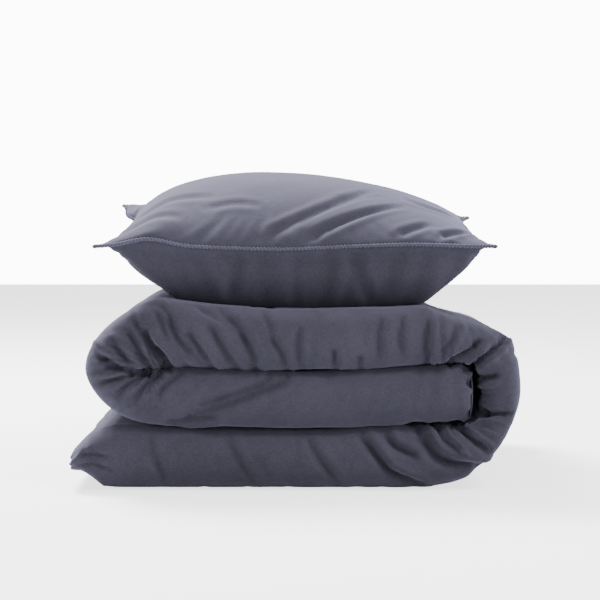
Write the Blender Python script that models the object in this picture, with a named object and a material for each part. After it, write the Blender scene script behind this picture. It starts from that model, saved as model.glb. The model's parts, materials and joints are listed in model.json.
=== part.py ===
"""A duvet in its cover, folded in thirds both ways, with a filled pillow lying on it.

The duvet is modelled folded once, as a straight strip of three plies, in strip space:
y across the strip, n through its thickness and s along it. fold_strip() then bends that
strip round its two long folds. +X runs along the stack, +Y to its back and +Z up, with the
origin at the middle of the whole object's footprint. Lengths are metres, angles degrees.
"""
import math

import bmesh
import bpy
from mathutils import Matrix, Vector

# Cloth, and the clearance kept wherever two pieces touch
CLOTH = 0.0003
GAP = 0.0003

# The folded duvet
STACK_WIDTH = 0.735
STRIP_DEPTH = 0.56
PLY_LOFT = 0.0328
PLY_GAP = 0.0012
LAYER_GAP = 0.003
LEFT_FOLD_REACH = 0.127
LEFT_FOLD_INSET = 0.026
BEND_WALL = 0.047
INNER_END_CLEARANCE = 0.031
INSERT_SLACK = 0.011

# The pillow
PILLOW_WIDTH = 0.655
PILLOW_DEPTH = 0.455
SIDE_PULL_IN = 0.020
CROWN = 0.112
BELLY = 0.118
SEAM_HEIGHT = 0.092
STITCH_RADIUS = 0.0022
FLAP_LENGTH = 0.20

# The cover's zip
TAPE_WIDTH = 0.0076
TAPE_THICKNESS = 0.0005
TAPE_SPACING = 0.0032
TOOTH_WIDTH = 0.0016
TOOTH_HEIGHT = 0.0015
TOOTH_SPACING = 0.0012
ZIP_END_MARGIN = 0.06
STOP_LENGTH = 0.003
SLIDER_LENGTH = 0.009
SLIDER_PLATE = 0.0012
FLANGE = 0.0007
POST = 0.0006
PULL_LENGTH = 0.016
PULL_WIDTH = 0.0044
PULL_THICKNESS = 0.001
BAIL_WIRE = 0.0008
BAIL_SPAN = 0.0036

# Corner ties in the cover, and loops on the insert
LOOP_RADIUS = 0.005
LOOP_CORD = 0.0008
TIE_INSET = 0.03

# Facets
CAP_STEPS = 2
BACK_FOLD_STEPS = 3
FRONT_FOLD_STEPS = 6
BEND_STEPS = 8
LEFT_FOLD_STEPS = 6
PILLOW_STEPS = (14, 10)

# Sizes worked out from those above
PLY_PITCH = PLY_LOFT + PLY_GAP
LAYER = 2 * PLY_PITCH + PLY_LOFT
STACK_HEIGHT = 3 * LAYER + 2 * LAYER_GAP
COVER_OUTSIDE = PLY_LOFT / 2
COVER_INSIDE = COVER_OUTSIDE - CLOTH
CASING_OUTSIDE = COVER_INSIDE - GAP
CASING_INSIDE = CASING_OUTSIDE - CLOTH
FILLING_SURFACE = CASING_INSIDE - GAP
INSERT_INSET = INSERT_SLACK - (COVER_INSIDE - CASING_OUTSIDE)
STRIP_BACK = STRIP_DEPTH / 2
FRONT_FOLD_Y = -STRIP_BACK + PLY_PITCH + COVER_OUTSIDE
BACK_FOLD_Y = STRIP_BACK - PLY_PITCH / 2 - COVER_OUTSIDE
BEND_X = STACK_WIDTH / 2 - STACK_HEIGHT / 2
BEND_INSIDE = STACK_HEIGHT / 2 - BEND_WALL
LEFT_X = -STACK_WIDTH / 2 + LEFT_FOLD_INSET + LEFT_FOLD_REACH
INNER_END_X = BEND_X + BEND_INSIDE - INNER_END_CLEARANCE

# The cover's mouth, between the two zip tapes' outer edges, and where the zip stands in it
ZIP_HALF = TAPE_SPACING / 2 + TAPE_WIDTH
MOUTH_HALF = ZIP_HALF - GAP
TAPE_FACE = math.sqrt(COVER_INSIDE**2 - (ZIP_HALF + GAP) ** 2)
TEETH_FOOT = TAPE_FACE + GAP
TEETH_TOP = TEETH_FOOT + TOOTH_HEIGHT
PLATE_FOOT = TEETH_TOP + GAP
PLATE_TOP = PLATE_FOOT + SLIDER_PLATE
SLIDER_HALF = TOOTH_SPACING / 2 + TOOTH_WIDTH + GAP + FLANGE
BAIL_HEIGHT = 2 * PULL_THICKNESS
PULL_AXIS = PLATE_TOP + GAP + PULL_THICKNESS * 0.8


def clear_scene():
    for old in list(bpy.data.objects):
        bpy.data.objects.remove(old)


def material(name, colour, roughness, metallic=0.0):
    made = bpy.data.materials.new(name)
    made.use_nodes = True
    shader = made.node_tree.nodes["Principled BSDF"]
    shader.inputs["Base Color"].default_value = (*colour, 1)
    shader.inputs["Roughness"].default_value = roughness
    shader.inputs["Metallic"].default_value = metallic
    return made


def add_object(name, bm, finish, smooth_angle=40):
    """Links the bmesh as one named object, facing out, with its round faces shaded smooth."""
    bmesh.ops.remove_doubles(bm, verts=bm.verts, dist=1e-6)
    bmesh.ops.recalc_face_normals(bm, faces=bm.faces)
    if bm.calc_volume(signed=True) < 0:
        bmesh.ops.reverse_faces(bm, faces=bm.faces)
    mesh = bpy.data.meshes.new(name)
    bm.to_mesh(mesh)
    bm.free()
    mesh.materials.append(finish)
    mesh.shade_smooth()
    mesh.set_sharp_from_angle(angle=math.radians(smooth_angle))
    made = bpy.data.objects.new(name, mesh)
    bpy.context.scene.collection.objects.link(made)
    return made


def add_grid(bm, points, flip=False, first_column=0):
    """Adds a grid of points, given as rows, from one column on, and returns its vertices.

    Each cell is split along the diagonal that points to its nearest corner of the grid, the
    same one in every grid, so that nested grids keep their clearance."""
    rows = [[bm.verts.new(p) for p in row[first_column:]] for row in points]
    for j, (low, high) in enumerate(zip(rows, rows[1:])):
        for i in range(len(low) - 1):
            a, b, c, d = low[i], low[i + 1], high[i + 1], high[i]
            left = 2 * (i + first_column) < len(points[0]) - 1
            near = 2 * j < len(points) - 1
            halves = ((a, b, c), (a, c, d)) if left == near else ((a, b, d), (b, c, d))
            for corners in halves:
                bm.faces.new(corners[::-1] if flip else corners)
    return rows


def rim_of(rows):
    """The vertices round a grid's edge, in order."""
    left = [row[0] for row in rows[1:-1]]
    right = [row[-1] for row in rows[1:-1]]
    return rows[0] + right + rows[-1][::-1] + left[::-1]


def solid_between(outer, inner, rim=True, first_column=0):
    """One closed solid between two grids of the same size. Without a rim their edges meet."""
    bm = bmesh.new()
    outside = rim_of(add_grid(bm, outer, False, first_column))
    inside = rim_of(add_grid(bm, inner, True, first_column))
    if rim:
        for i in range(len(outside)):
            j = (i + 1) % len(outside)
            bm.faces.new([outside[j], outside[i], inside[i], inside[j]])
    return bm


def solid_along(sections):
    """One closed solid through a row of closed outlines."""
    bm = bmesh.new()
    rings = [[bm.verts.new(p) for p in section] for section in sections]
    for low, high in zip(rings, rings[1:]):
        for i in range(len(low)):
            j = (i + 1) % len(low)
            bm.faces.new([low[i], low[j], high[j], high[i]])
    bm.faces.new(rings[0][::-1])
    bm.faces.new(rings[-1])
    return bm


def arc(centre, radii, start, end, steps):
    """Points on an ellipse from start to end degrees, as (across, up) pairs."""
    made = []
    for i in range(steps + 1):
        angle = math.radians(start + (end - start) * i / steps)
        made.append((centre[0] + radii[0] * math.cos(angle), centre[1] + radii[1] * math.sin(angle)))
    return made


def squared_arc(centre, radii, start, end, steps, fullness=4):
    """As arc, on a superellipse, which fills its box more as fullness grows."""
    made = []
    for i in range(steps + 1):
        angle = math.radians(start + (end - start) * i / steps)
        c, s = math.cos(angle), math.sin(angle)
        size = (abs(c) ** fullness + abs(s) ** fullness) ** (-1 / fullness)
        made.append((centre[0] + radii[0] * size * c, centre[1] + radii[1] * size * s))
    return made


def strip_profile():
    """(outer, inner) points in X and Z along the folded strip, from its outer end to its inner one."""
    middle = STACK_HEIGHT / 2
    roof = STACK_HEIGHT - LAYER
    fold_z = roof - LAYER_GAP / 2
    low = LAYER + LAYER_GAP
    outer = [(-STACK_WIDTH / 2, 0.0)]
    inner = [(-STACK_WIDTH / 2, LAYER)]
    outer += arc((BEND_X, middle), (middle, middle), -90, 90, BEND_STEPS)
    inner += squared_arc((BEND_X, middle), (BEND_INSIDE, middle - LAYER), -90, 90, BEND_STEPS)
    outer += arc((LEFT_X, fold_z), (LEFT_FOLD_REACH, LAYER + LAYER_GAP / 2), 90, 270, LEFT_FOLD_STEPS)
    inner += arc((LEFT_X, fold_z), (LEFT_FOLD_REACH * 0.2, LAYER_GAP / 2), 90, 270, LEFT_FOLD_STEPS)
    outer.append((INNER_END_X, low))
    inner.append((INNER_END_X, low + LAYER))
    return [(Vector(o), Vector(i)) for o, i in zip(outer, inner)]


def strip_lengths(profile):
    """The distance along the strip's mid-line of each point of its profile."""
    middles = [(o + i) / 2 for o, i in profile]
    lengths = [0.0]
    for a, b in zip(middles, middles[1:]):
        lengths.append(lengths[-1] + (b - a).length)
    return lengths


PROFILE = strip_profile()
LENGTHS = strip_lengths(PROFILE)
STRIP_LENGTH = LENGTHS[-1]


def fold_strip(y, n, s):
    """The place of a strip-space point once the strip is folded round the stack."""
    k = 0
    while k < len(LENGTHS) - 2 and s > LENGTHS[k + 1]:
        k += 1
    part = (s - LENGTHS[k]) / (LENGTHS[k + 1] - LENGTHS[k])
    outer = PROFILE[k][0].lerp(PROFILE[k + 1][0], part) if 0 <= part <= 1 else (
        PROFILE[k][0] + (PROFILE[k + 1][0] - PROFILE[k][0]) * part)
    inner = PROFILE[k][1].lerp(PROFILE[k + 1][1], part) if 0 <= part <= 1 else (
        PROFILE[k][1] + (PROFILE[k + 1][1] - PROFILE[k][1]) * part)
    depth = n / LAYER + 0.5
    across = outer + (inner - outer) * depth
    return Vector((across.x, y, across.y))


class Station:
    """A place on the ply's mid-line: where it is, its direction, how far the cloth has turned
    over the ply's edge, and how much of the cover's mouth is open there (0 to 1)."""

    def __init__(self, y, n, heading, lean=0.0, mouth=0.0):
        self.y, self.n, self.lean, self.mouth = y, n, lean, mouth
        self.along = (math.cos(heading), math.sin(heading))

    def offset(self, out, onward=0.0):
        """The (y, n) point that far off the mid-line, to its left, and that far along it."""
        return (
            self.y - out * self.along[1] + onward * self.along[0],
            self.n + out * self.along[0] + onward * self.along[1],
        )


def edge_leans(limit):
    return [limit * i / CAP_STEPS for i in range(1, CAP_STEPS + 1)]


def ply_stations(radius, inset, tip_gap):
    """Stations across the unfolded ply: inner third, back fold, outer third, front fold, top third."""
    turned = math.degrees(math.acos(tip_gap / 2 / radius))
    start_y = FRONT_FOLD_Y + inset
    end_y = STRIP_BACK - COVER_OUTSIDE - inset
    made = [Station(start_y, 0.0, 0.0, lean=-a) for a in edge_leans(turned)[::-1]]
    made.append(Station(start_y, 0.0, 0.0))
    for i in range(BACK_FOLD_STEPS + 1):
        angle = math.pi / 2 - math.pi * i / BACK_FOLD_STEPS
        made.append(Station(
            BACK_FOLD_Y + PLY_PITCH / 2 * math.cos(angle),
            -PLY_PITCH / 2 + PLY_PITCH / 2 * math.sin(angle),
            angle - math.pi / 2))
    made.append(Station(BACK_FOLD_Y - ZIP_END_MARGIN, -PLY_PITCH, math.pi, mouth=1.0))
    for i in range(FRONT_FOLD_STEPS + 1):
        angle = -math.pi / 2 - math.pi * i / FRONT_FOLD_STEPS
        made.append(Station(
            FRONT_FOLD_Y + PLY_PITCH * math.cos(angle),
            PLY_PITCH * math.sin(angle),
            angle - math.pi / 2, mouth=1.0))
    made.append(Station(end_y - ZIP_END_MARGIN, PLY_PITCH, 0.0, mouth=1.0))
    made.append(Station(end_y, PLY_PITCH, 0.0))
    made += [Station(end_y, PLY_PITCH, 0.0, lean=a) for a in edge_leans(turned)]
    return made


def cloth_grid(radius, side, inset=0.0, tip_gap=GAP, mouth=False):
    """The surface at that distance from the ply's mid-surface, on one side, folded into the stack."""
    first = COVER_OUTSIDE + inset
    last = STRIP_LENGTH - COVER_OUTSIDE - inset
    inner = [s for s in LENGTHS[1:-1]]
    closed = math.acos(tip_gap / 2 / radius)
    opened = math.acos(MOUTH_HALF / radius) if mouth else closed
    rows = [(first, -a / CAP_STEPS, 0) for a in range(CAP_STEPS, 0, -1)]
    rows += [(s, 0, 0) for s in [first, *inner, last]]
    rows += [(last, a / CAP_STEPS, 1) for a in range(1, CAP_STEPS + 1)]
    stations = ply_stations(radius, inset, tip_gap)
    grid = []
    for s, share, at_mouth in rows:
        row = []
        for station in stations:
            full = closed + (opened - closed) * station.mouth * at_mouth
            lean = math.radians(station.lean)
            reach = radius * math.cos(full * share)
            y, n = station.offset(side * reach * math.cos(lean), reach * math.sin(lean))
            row.append(fold_strip(y, n, s + radius * math.sin(full * share)))
        grid.append(row)
    return grid


def build_duvet(cover_cloth, casing_cloth, wadding):
    for side, word in ((1, "face"), (-1, "back")):
        outer = cloth_grid(COVER_OUTSIDE, side, mouth=True)
        inner = cloth_grid(COVER_INSIDE, side, mouth=True)
        add_object(f"duvet_cover_{word}", solid_between(outer, inner), cover_cloth)
        outer = cloth_grid(CASING_OUTSIDE, side, INSERT_INSET)
        inner = cloth_grid(CASING_INSIDE, side, INSERT_INSET)
        add_object(f"duvet_casing_{word}", solid_between(outer, inner), casing_cloth)
    halves = [cloth_grid(FILLING_SURFACE, side, INSERT_INSET, tip_gap=0) for side in (1, -1)]
    add_object("duvet_filling", solid_between(*halves, rim=False), wadding)


def cord_arc(centre, outward, sideways):
    """A half ring of cord that stands on a cloth edge at centre, reaching outward."""
    sections = []
    steps, sides = 6, 6
    for i in range(steps + 1):
        angle = math.pi * i / steps
        out = outward * math.sin(angle) + sideways * math.cos(angle)
        across = outward.cross(sideways)
        spot = centre + out * LOOP_RADIUS
        ring = []
        for k in range(sides):
            turn = 2 * math.pi * k / sides
            ring.append(spot + (out * math.cos(turn) + across * math.sin(turn)) * LOOP_CORD)
        sections.append(ring)
    return solid_along(sections)


def build_corner_ties(cover_cloth, casing_cloth):
    """A loop on each corner of the insert, and the cover's tie linked through it."""
    insert_tip = COVER_OUTSIDE + INSERT_INSET - CASING_OUTSIDE
    reach = LOOP_RADIUS + LOOP_CORD
    cover_tip = CLOTH + reach * math.tan(math.radians(45 / CAP_STEPS))
    start_y = FRONT_FOLD_Y + TIE_INSET
    end_y = STRIP_BACK - COVER_OUTSIDE - TIE_INSET
    number = 0
    for y, n in ((start_y, 0.0), (end_y, PLY_PITCH)):
        for end, sign in ((0.0, -1), (STRIP_LENGTH, 1)):
            number += 1
            here = fold_strip(y, n, end)
            outward = (here - fold_strip(y, n, end - sign * 0.01)).normalized()
            loop_foot = here - outward * (insert_tip - GAP - LOOP_CORD)
            tie_foot = here - outward * (cover_tip + GAP + LOOP_CORD)
            loop = cord_arc(loop_foot, outward, Vector((0, 1, 0)))
            tie = cord_arc(tie_foot, -outward, Vector((0, 0, 1)))
            add_object(f"duvet_corner_loop_{number}", loop, casing_cloth)
            add_object(f"cover_corner_tie_{number}", tie, cover_cloth)


def zip_band(low, high, foot, top):
    """A band along the cover's mouth, between two offsets from its middle and two heights."""
    base = STRIP_LENGTH - COVER_OUTSIDE
    sections = []
    for station in ply_stations(COVER_OUTSIDE, 0.0, GAP):
        if station.mouth == 1.0:
            outline = [(low, foot), (high, foot), (high, top), (low, top)]
            sections.append([fold_strip(*station.offset(out), base + up) for out, up in outline])
    return solid_along(sections)


def extruded(outline, place, half, axis):
    """A prism on a closed (a, b) outline, its faces half a width each way along axis."""
    return solid_along([[place(a, b) + axis * step for a, b in outline] for step in (-half, half)])


def zip_ends():
    """The zip's shut and open ends, each as its name and its place across the strip."""
    shut = BACK_FOLD_Y - ZIP_END_MARGIN - STOP_LENGTH
    opened = STRIP_BACK - COVER_OUTSIDE - ZIP_END_MARGIN - STOP_LENGTH
    return [("shut_end", shut, -PLY_PITCH), ("open_end", opened, PLY_PITCH)]


def slider_place():
    """The middle of the zip's slider when shut, on the cover's mouth, and the way it opens."""
    y = BACK_FOLD_Y - ZIP_END_MARGIN - 1.5 * SLIDER_LENGTH
    return fold_strip(y, -PLY_PITCH, STRIP_LENGTH - COVER_OUTSIDE)


def build_zip(tape_cloth, nylon, metal):
    half_gap = TAPE_SPACING / 2
    for side, word in ((1, "face"), (-1, "back")):
        ends = sorted((side * half_gap, side * ZIP_HALF))
        tape = zip_band(*ends, TAPE_FACE - TAPE_THICKNESS, TAPE_FACE)
        add_object(f"zip_tape_{word}", tape, tape_cloth)
        ends = sorted((side * TOOTH_SPACING / 2, side * (TOOTH_SPACING / 2 + TOOTH_WIDTH)))
        add_object(f"zip_teeth_{word}", zip_band(*ends, TEETH_FOOT, TEETH_TOP), nylon)

    reach = TOOTH_SPACING / 2 + TOOTH_WIDTH
    stop = [(-reach, PLATE_FOOT), (reach, PLATE_FOOT), (reach, PLATE_TOP), (-reach, PLATE_TOP)]
    along = Vector((0, 1, 0))
    for word, y, n in zip_ends():
        clip = extruded(stop, lambda a, b: Vector((b, 0, a)), STOP_LENGTH / 2, along)
        made = add_object(f"zip_stop_{word}", clip, metal)
        made.location = fold_strip(y, n, STRIP_LENGTH - COVER_OUTSIDE)

    origin = slider_place()
    back_top = TAPE_FACE - TAPE_THICKNESS - GAP
    wing = SLIDER_HALF
    lip = SLIDER_HALF - FLANGE
    right = [
        (wing, PLATE_TOP), (wing, TEETH_FOOT), (lip, TEETH_FOOT), (lip, PLATE_FOOT), (POST / 2, PLATE_FOOT),
        (POST / 2, back_top), (wing, back_top), (wing, back_top - SLIDER_PLATE)]
    outline = right + [(-a, b) for a, b in right[::-1]]
    body = add_object(
        "zip_slider",
        extruded(outline, lambda a, b: Vector((b, 0, a)), SLIDER_LENGTH / 2, along), metal)
    body.location = origin

    leg = BAIL_SPAN / 2 + BAIL_WIRE
    crown = PLATE_TOP + BAIL_HEIGHT
    foot = PLATE_TOP - SLIDER_PLATE / 2
    bail = [
        (-leg, foot), (-leg, crown + BAIL_WIRE), (leg, crown + BAIL_WIRE), (leg, foot),
        (leg - BAIL_WIRE, foot), (leg - BAIL_WIRE, crown), (BAIL_WIRE - leg, crown), (BAIL_WIRE - leg, foot)]
    wire = add_object(
        "bail_shape",
        extruded(bail, lambda a, b: Vector((b, a, 0)), BAIL_WIRE / 2, Vector((0, 0, 1))), metal)
    wire.location = origin
    wire.hide_render = True
    wire.display_type = "WIRE"
    join = body.modifiers.new("bail", "BOOLEAN")
    join.operation = "UNION"
    join.object = wire

    hinge = origin + Vector((PULL_AXIS, 0, 0))
    bar = PULL_THICKNESS / 2
    plate = [(-bar, -bar), (-bar, bar), (PULL_LENGTH, bar), (PULL_LENGTH, -bar)]
    pull = add_object(
        "zip_pull_tab",
        extruded(plate, lambda a, b: Vector((b, a, 0)), PULL_WIDTH / 2, Vector((0, 0, 1))), metal)
    pull.location = hinge
    window_end = bar + leg + 2 * BAIL_WIRE
    window = [(bar, -PULL_THICKNESS), (bar, PULL_THICKNESS), (window_end, PULL_THICKNESS), (window_end, -PULL_THICKNESS)]
    cutter = add_object(
        "pull_window",
        extruded(window, lambda a, b: Vector((b, a, 0)), BAIL_WIRE * 1.5, Vector((0, 0, 1))), metal)
    cutter.location = hinge
    cutter.hide_render = True
    cutter.display_type = "WIRE"
    cut = pull.modifiers.new("window", "BOOLEAN")
    cut.operation = "DIFFERENCE"
    cut.object = cutter


def pillow_stops(count):
    """Places from -1 to 1 across the pillow, closer together towards its edges."""
    return [math.sin(math.pi / 2 * (2 * i / count - 1)) for i in range(count + 1)]


def pillow_point(u, v, height, depth_in):
    """A point of the pillow's surface, that far inside the case's outer face."""
    across, deep = PILLOW_WIDTH / 2, PILLOW_DEPTH / 2
    fall = math.sqrt(max(0.0, 1 - u * u)) * math.sqrt(max(0.0, 1 - v * v))
    x = u * (across - depth_in - SIDE_PULL_IN * (1 - v * v))
    y = v * (deep - depth_in - SIDE_PULL_IN * (1 - u * u))
    z = height * fall ** 0.9
    return Vector((x, y, z))


def pillow_grid(side, depth_in, seam_gap):
    """The pillow's upper (side 1) or under surface; the under one is flat where it rests."""
    columns, rows = PILLOW_STEPS
    height = (CROWN if side > 0 else BELLY) - depth_in
    rest = SEAM_HEIGHT - depth_in
    grid = []
    for v in pillow_stops(rows):
        row = []
        for u in pillow_stops(columns):
            point = pillow_point(u, v, height, depth_in)
            if side < 0:
                point.z = -min(point.z, rest)
            point.z += STACK_HEIGHT + GAP + SEAM_HEIGHT + side * seam_gap / 2
            row.append(point)
        grid.append(row)
    return grid


def stitch_ring():
    """The middle of the overcast edge, a round cord that follows the pillowcase just outside it."""
    columns, rows = PILLOW_STEPS
    across, deep = pillow_stops(columns), pillow_stops(rows)
    line = [(u, -1) for u in across[:-1]] + [(1, v) for v in deep[:-1]]
    line += [(u, 1) for u in across[:0:-1]] + [(-1, v) for v in deep[:0:-1]]
    lift = Vector((0, 0, STACK_HEIGHT + GAP + SEAM_HEIGHT))
    return [pillow_point(u, v, 0.0, -(STITCH_RADIUS + 2 * GAP)) + lift for u, v in line]


def ring_solid(points, radius, sides=6):
    """A closed ring of round cord through the points, level all the way."""
    bm = bmesh.new()
    rings = []
    count = len(points)
    for i, spot in enumerate(points):
        onward = (points[(i + 1) % count] - points[i - 1]).normalized()
        out = onward.cross(Vector((0, 0, 1)))
        rings.append([
            bm.verts.new(spot + (out * math.cos(2 * math.pi * k / sides)
                                 + Vector((0, 0, 1)) * math.sin(2 * math.pi * k / sides)) * radius)
            for k in range(sides)])
    for i in range(count):
        low, high = rings[i], rings[(i + 1) % count]
        for k in range(sides):
            m = (k + 1) % sides
            bm.faces.new([low[k], low[m], high[m], high[k]])
    return bm


def build_pillow(case_cloth, casing_cloth, wadding, stitch):
    layer = CLOTH + GAP
    for side, word in ((1, "top"), (-1, "base")):
        outer = pillow_grid(side, 0.0, GAP)
        inner = pillow_grid(side, CLOTH, GAP)
        add_object(f"pillowcase_{word}", solid_between(outer, inner), case_cloth)
        outer = pillow_grid(side, 2 * layer, GAP)
        inner = pillow_grid(side, 2 * layer + CLOTH, GAP)
        add_object(f"pillow_casing_{word}", solid_between(outer, inner), casing_cloth)
    halves = [pillow_grid(side, 3 * layer, 0.0) for side in (1, -1)]
    add_object("pillow_filling", solid_between(*halves, rim=False), wadding)
    columns = PILLOW_STEPS[0]
    reach = math.asin(1 - 2 * FLAP_LENGTH / PILLOW_WIDTH) / (math.pi / 2)
    first_column = round((1 + reach) / 2 * columns)
    flap = pillow_grid(1, layer, GAP), pillow_grid(1, layer + CLOTH, GAP)
    add_object("pillowcase_tuck_flap", solid_between(*flap, first_column=first_column), case_cloth)
    add_object("pillowcase_edge_stitch", ring_solid(stitch_ring(), STITCH_RADIUS), stitch)


def build():
    clear_scene()
    cotton = material("washed_cotton", (0.075, 0.073, 0.098), 0.9)
    ticking = material("white_ticking", (0.80, 0.79, 0.76), 0.85)
    fibre = material("polyester_fibre", (0.90, 0.90, 0.88), 1.0)
    thread = material("pale_thread", (0.20, 0.20, 0.26), 0.8)
    tape = material("zip_tape_weave", (0.06, 0.06, 0.075), 0.9)
    nylon = material("zip_nylon", (0.05, 0.05, 0.06), 0.45)
    nickel = material("zip_metal", (0.35, 0.35, 0.38), 0.35, 1.0)
    build_duvet(cotton, ticking, fibre)
    build_corner_ties(cotton, ticking)
    build_zip(tape, nylon, nickel)
    build_pillow(cotton, ticking, fibre, thread)
    slider = slider_place()
    travel = slider.y - SLIDER_LENGTH - FRONT_FOLD_Y
    print(f"strip {STRIP_LENGTH:.3f} m long, slider at {tuple(round(v, 5) for v in slider)}, travel {travel:.3f}")
    print(f"pull axis at x {slider.x + PULL_AXIS:.5f}, stack height {STACK_HEIGHT:.4f}")


build()
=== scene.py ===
# %% [markdown]
# # A folded duvet with its pillow
#
# A duvet in a washed cotton cover is folded in thirds both ways, and a filled pillow lies on
# it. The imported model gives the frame: where the stack stands, how thick its layers are and
# where the pillow's seam runs. This lesson dresses that frame in cloth.

import json
import math

import bmesh
import bpy
import numpy as np
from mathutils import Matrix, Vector

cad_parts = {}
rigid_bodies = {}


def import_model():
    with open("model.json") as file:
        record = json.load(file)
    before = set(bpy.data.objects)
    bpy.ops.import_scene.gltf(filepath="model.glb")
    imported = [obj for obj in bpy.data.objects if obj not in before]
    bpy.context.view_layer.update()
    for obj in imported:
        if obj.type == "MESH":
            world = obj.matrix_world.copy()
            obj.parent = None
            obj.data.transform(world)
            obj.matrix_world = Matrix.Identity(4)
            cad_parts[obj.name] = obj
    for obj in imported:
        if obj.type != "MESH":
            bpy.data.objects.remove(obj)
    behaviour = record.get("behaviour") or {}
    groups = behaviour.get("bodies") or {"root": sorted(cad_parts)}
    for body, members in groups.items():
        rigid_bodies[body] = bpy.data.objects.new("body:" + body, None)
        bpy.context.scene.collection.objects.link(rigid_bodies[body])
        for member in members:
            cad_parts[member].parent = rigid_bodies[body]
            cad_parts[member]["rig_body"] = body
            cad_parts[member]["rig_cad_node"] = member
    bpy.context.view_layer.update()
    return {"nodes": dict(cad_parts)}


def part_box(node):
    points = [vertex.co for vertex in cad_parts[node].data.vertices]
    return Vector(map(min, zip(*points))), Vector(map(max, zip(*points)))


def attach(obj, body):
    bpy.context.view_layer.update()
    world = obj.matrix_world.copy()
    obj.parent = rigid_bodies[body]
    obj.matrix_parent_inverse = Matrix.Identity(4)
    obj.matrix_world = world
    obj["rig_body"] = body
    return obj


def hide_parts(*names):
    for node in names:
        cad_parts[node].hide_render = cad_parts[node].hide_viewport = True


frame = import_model()

# %% [markdown]
# ## The sizes that the cloth has to keep
#
# The cover's face panel gives the stack's length, depth and height, and further on the case's two
# panels give the pillow's seam. What the boxes can't say, such as how a ply is lofted, is named here
# once.

# %% Sizes
stack_low, stack_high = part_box("duvet_cover_face")
STACK_WIDTH = stack_high[0] - stack_low[0]
STRIP_DEPTH = stack_high[1] - stack_low[1]
STACK_HEIGHT = stack_high[2] - stack_low[2]
LAYER_GAP = 0.003
LAYER = (STACK_HEIGHT - 2 * LAYER_GAP) / 3
PLY_GAP = 0.0012
PLY_LOFT = (LAYER - 2 * PLY_GAP) / 3
PLY_PITCH = PLY_LOFT + PLY_GAP
HALF_PLY = PLY_LOFT / 2
BEND_WALL = 0.047
LEFT_FOLD_REACH = 0.127
LEFT_FOLD_INSET = 0.026
BEND_X = STACK_WIDTH / 2 - STACK_HEIGHT / 2
BEND_INSIDE = STACK_HEIGHT / 2 - BEND_WALL
LEFT_X = -STACK_WIDTH / 2 + LEFT_FOLD_INSET + LEFT_FOLD_REACH
INNER_END_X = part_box("zip_tape_face")[0][0] - 0.0003
MOUTH_HALF = 0.0085
STRIP_BACK = STRIP_DEPTH / 2
FRONT_FOLD_Y = -STRIP_BACK + PLY_PITCH + HALF_PLY
BACK_FOLD_Y = STRIP_BACK - PLY_PITCH / 2 - HALF_PLY
SHOWN_FROM_Y = -0.17  # cloth nearer the front than this shows between the layers
print(f"layer {LAYER:.4f} m, ply {PLY_LOFT:.4f} m, stack {STACK_HEIGHT:.4f} m high")

# %% [markdown]
# ## The way the strip is folded
#
# Folded once, the duvet is a long strip of three plies. A second fold takes it round the large
# bend at the right, back over the top and round the small bend at the left. Two lines describe
# that path, the strip's outer side and its inner one, and every point of the strip lies between
# them. So a point is given by how far it is along the strip, across it and through it.


# %% The path of the strip
def squared_off(angle, fullness):
    """How far out a shape is at each angle: a circle at fullness 2, nearing a square above it."""
    c, s = np.abs(np.cos(angle)), np.abs(np.sin(angle))
    return (c ** fullness + s ** fullness) ** (-1 / fullness)


def arc(centre, radii, start, end, steps, fullness=2):
    """Points on an ellipse, which fills its box more as fullness grows past 2."""
    angle = np.radians(np.linspace(start, end, steps + 1))
    size = squared_off(angle, fullness)
    return np.stack([centre[0] + radii[0] * size * np.cos(angle),
                     centre[1] + radii[1] * size * np.sin(angle)], 1)


def lengths_along(line):
    """How far along a line each of its points is."""
    return np.concatenate([[0], np.cumsum(np.linalg.norm(np.diff(line, axis=0), axis=1))])


def points_at(line, marks):
    """The points at these distances along a line."""
    far = lengths_along(line)
    return np.stack([np.interp(marks, far, along_axis) for along_axis in line.T], 1)


def resample(line, count):
    """The same line as count points, spaced evenly."""
    return points_at(line, np.linspace(0, lengths_along(line)[-1], count))


def under_middle(x):
    """Height of the line where the middle layer lies on the bottom one."""
    at = [-0.37, -0.27, -0.15, 0.0, 0.08, 0.14, 0.26, 0.37]
    return np.interp(x, at, [0.104, 0.104, 0.098, 0.095, 0.097, 0.102, 0.104, 0.104])


def over_middle(x):
    """Height of the line where the top layer lies on the middle one."""
    at = [-0.37, -0.24, -0.18, -0.10, 0.0, 0.10, 0.25, 0.37]
    return np.interp(x, at, [0.193, 0.193, 0.199, 0.194, 0.191, 0.193, 0.204, 0.205])


def smooth_line(points, steps=8):
    """A smooth line through a few points, as a Catmull-Rom curve."""
    points = np.array(points)
    ends = np.concatenate([[2 * points[0] - points[1]], points, [2 * points[-1] - points[-2]]])
    t = np.linspace(0, 1, steps, endpoint=False)[:, None]
    line = []
    for a, b, c, d in zip(ends, ends[1:], ends[2:], ends[3:]):
        line.append(b + t * (c - a) / 2 + t ** 2 * (2 * a - 5 * b + 4 * c - d) / 2
                    + t ** 3 * (3 * b - a - 3 * c + d) / 2)
    return np.concatenate(line + [points[-1:]])


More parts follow.
